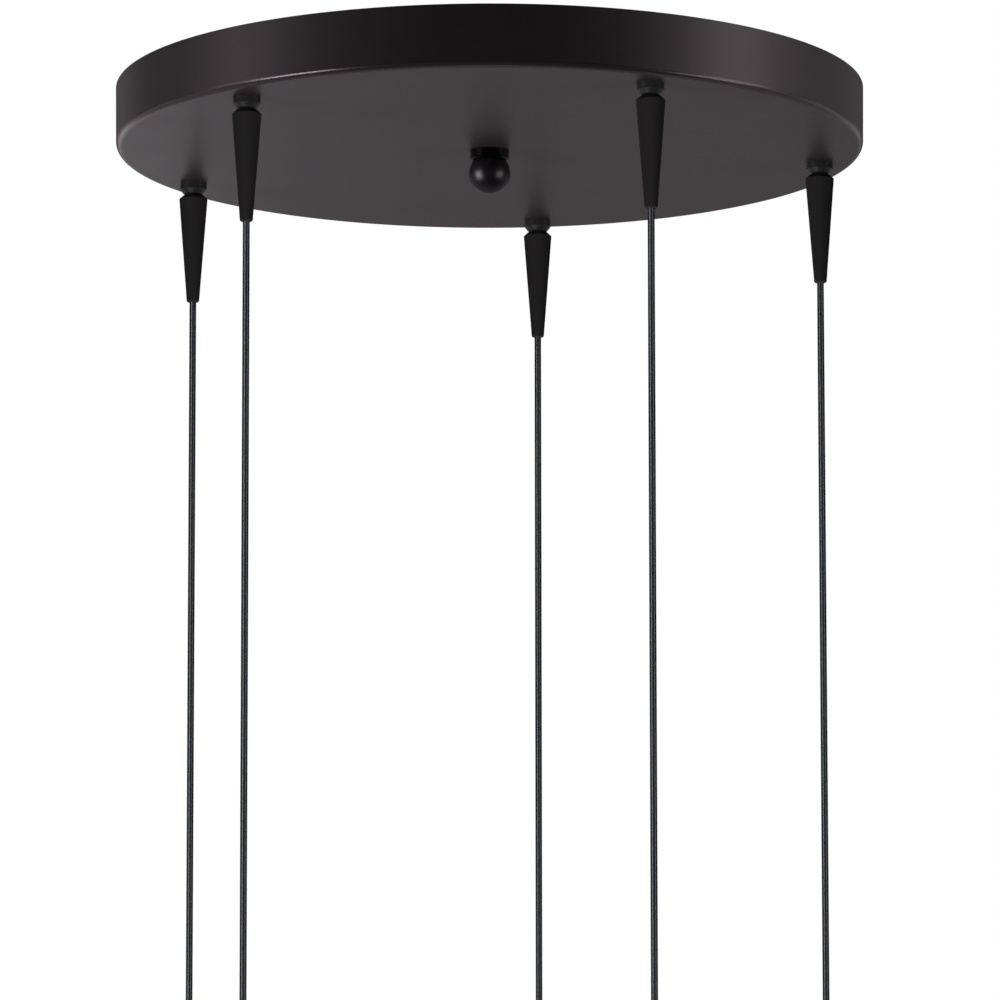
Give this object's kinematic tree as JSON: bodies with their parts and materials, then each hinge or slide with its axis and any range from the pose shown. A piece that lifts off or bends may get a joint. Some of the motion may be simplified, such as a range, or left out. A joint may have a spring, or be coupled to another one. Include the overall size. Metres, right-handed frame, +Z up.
{
  "type": "cluster pendant",
  "caption": "Round shallow ceiling canopy with a ball finial and cords that hang from tapered grips to screw lampholders.",
  "frame": {"origin": "centre of the canopy pan's rim and of the mounting bar's upper face, in the ceiling plane", "axes": "+Z up into the ceiling, +Y away from the picture's camera, +X to its right"},
  "size_m": [0.4087, 0.4092, 0.5929],
  "materials": {
    "canopy_bronze": "satin dark bronze powder coat",
    "finial_black": "semi-gloss black enamel",
    "fitting_black": "satin black enamel",
    "grip_nylon": "moulded black nylon, fine matt grain",
    "cord_black": "dark grey round flexible cord",
    "zinc_steel": "zinc-plated steel",
    "brass": "plain turned brass",
    "ground_green": "green earthing screw",
    "strip_white": "white moulded nylon",
    "cap_black": "satin black enamel",
    "body_black": "black phenolic moulding",
    "shell_nickel": "nickel-plated brass, satin",
    "ring_black": "black phenolic moulding"
  },
  "bodies": {
    "canopy": {"canopy_pan": "canopy_bronze", "mounting_bar": "zinc_steel", "centre_stud": "zinc_steel", "stud_locknuts": "zinc_steel", "stud_washer": "zinc_steel", "ground_screw": "ground_green", "finial_collar": "finial_black", "terminal_strip": "strip_white", "terminal_screws": "brass", "canopy_leads": "cord_black", "cord_nipples": "fitting_black", "nipple_washers": "zinc_steel", "nipple_locknuts": "brass", "nipple_collar_1": "fitting_black", "nipple_collar_2": "fitting_black", "nipple_collar_3": "fitting_black", "nipple_collar_4": "fitting_black", "nipple_collar_5": "fitting_black"},
    "finial": {"ball_finial": "finial_black"},
    "grip_1": {"cord_grip_1": "grip_nylon"},
    "pendant_1": {"pendant_cord_1": "cord_black", "socket_cap_1": "cap_black", "socket_body_1": "body_black", "screw_shell_1": "shell_nickel", "centre_contact_1": "brass"},
    "ring_1": {"shade_ring_1": "ring_black"},
    "grip_2": {"cord_grip_2": "grip_nylon"},
    "pendant_2": {"pendant_cord_2": "cord_black", "socket_cap_2": "cap_black", "socket_body_2": "body_black", "screw_shell_2": "shell_nickel", "centre_contact_2": "brass"},
    "ring_2": {"shade_ring_2": "ring_black"},
    "grip_3": {"cord_grip_3": "grip_nylon"},
    "pendant_3": {"pendant_cord_3": "cord_black", "socket_cap_3": "cap_black", "socket_body_3": "body_black", "screw_shell_3": "shell_nickel", "centre_contact_3": "brass"},
    "ring_3": {"shade_ring_3": "ring_black"},
    "grip_4": {"cord_grip_4": "grip_nylon"},
    "pendant_4": {"pendant_cord_4": "cord_black", "socket_cap_4": "cap_black", "socket_body_4": "body_black", "screw_shell_4": "shell_nickel", "centre_contact_4": "brass"},
    "ring_4": {"shade_ring_4": "ring_black"},
    "grip_5": {"cord_grip_5": "grip_nylon"},
    "pendant_5": {"pendant_cord_5": "cord_black", "socket_cap_5": "cap_black", "socket_body_5": "body_black", "screw_shell_5": "shell_nickel", "centre_contact_5": "brass"},
    "ring_5": {"shade_ring_5": "ring_black"}
  },
  "joints": [
    {"name": "finial_turn", "type": "hinge", "parent": "canopy", "child": "finial", "pos_m": [0, 0, -0.046], "axis": [0, 0, 1], "continuous": true},
    {"name": "grip_turn_1", "type": "hinge", "parent": "canopy", "child": "grip_1", "pos_m": [0.02705, 0.18099, -0.0405], "axis": [0, 0, 1], "continuous": true},
    {"name": "pendant_swing_1", "type": "hinge", "parent": "canopy", "child": "pendant_1", "pos_m": [0.02705, 0.18099, -0.1005], "axis": [0.989, -0.1478, 0], "range_deg": [-15, 15]},
    {"name": "shade_ring_turn_1", "type": "hinge", "parent": "pendant_1", "child": "ring_1", "pos_m": [0.02705, 0.18099, -0.5609], "axis": [0, 0, 1], "continuous": true},
    {"name": "grip_turn_2", "type": "hinge", "parent": "canopy", "child": "grip_2", "pos_m": [0.18049, 0.0302, -0.0405], "axis": [0, 0, 1], "continuous": true},
    {"name": "pendant_swing_2", "type": "hinge", "parent": "canopy", "child": "pendant_2", "pos_m": [0.18049, 0.0302, -0.1005], "axis": [0.165, -0.9863, 0], "range_deg": [-15, 15]},
    {"name": "shade_ring_turn_2", "type": "hinge", "parent": "pendant_2", "child": "ring_2", "pos_m": [0.18049, 0.0302, -0.5609], "axis": [0, 0, 1], "continuous": true},
    {"name": "grip_turn_3", "type": "hinge", "parent": "canopy", "child": "grip_3", "pos_m": [0.0845, -0.16232, -0.0405], "axis": [0, 0, 1], "continuous": true},
    {"name": "pendant_swing_3", "type": "hinge", "parent": "canopy", "child": "pendant_3", "pos_m": [0.0845, -0.16232, -0.1005], "axis": [-0.887, -0.4617, 0], "range_deg": [-15, 15]},
    {"name": "shade_ring_turn_3", "type": "hinge", "parent": "pendant_3", "child": "ring_3", "pos_m": [0.0845, -0.16232, -0.5609], "axis": [0, 0, 1], "continuous": true},
    {"name": "grip_turn_4", "type": "hinge", "parent": "canopy", "child": "grip_4", "pos_m": [-0.12827, -0.13053, -0.0405], "axis": [0, 0, 1], "continuous": true},
    {"name": "pendant_swing_4", "type": "hinge", "parent": "canopy", "child": "pendant_4", "pos_m": [-0.12827, -0.13053, -0.1005], "axis": [-0.7133, 0.7009, 0], "range_deg": [-15, 15]},
    {"name": "shade_ring_turn_4", "type": "hinge", "parent": "pendant_4", "child": "ring_4", "pos_m": [-0.12827, -0.13053, -0.5609], "axis": [0, 0, 1], "continuous": true},
    {"name": "grip_turn_5", "type": "hinge", "parent": "canopy", "child": "grip_5", "pos_m": [-0.16377, 0.08165, -0.0405], "axis": [0, 0, 1], "continuous": true},
    {"name": "pendant_swing_5", "type": "hinge", "parent": "canopy", "child": "pendant_5", "pos_m": [-0.16377, 0.08165, -0.1005], "axis": [0.4462, 0.8949, 0], "range_deg": [-15, 15]},
    {"name": "shade_ring_turn_5", "type": "hinge", "parent": "pendant_5", "child": "ring_5", "pos_m": [-0.16377, 0.08165, -0.5609], "axis": [0, 0, 1], "continuous": true}
  ]
}
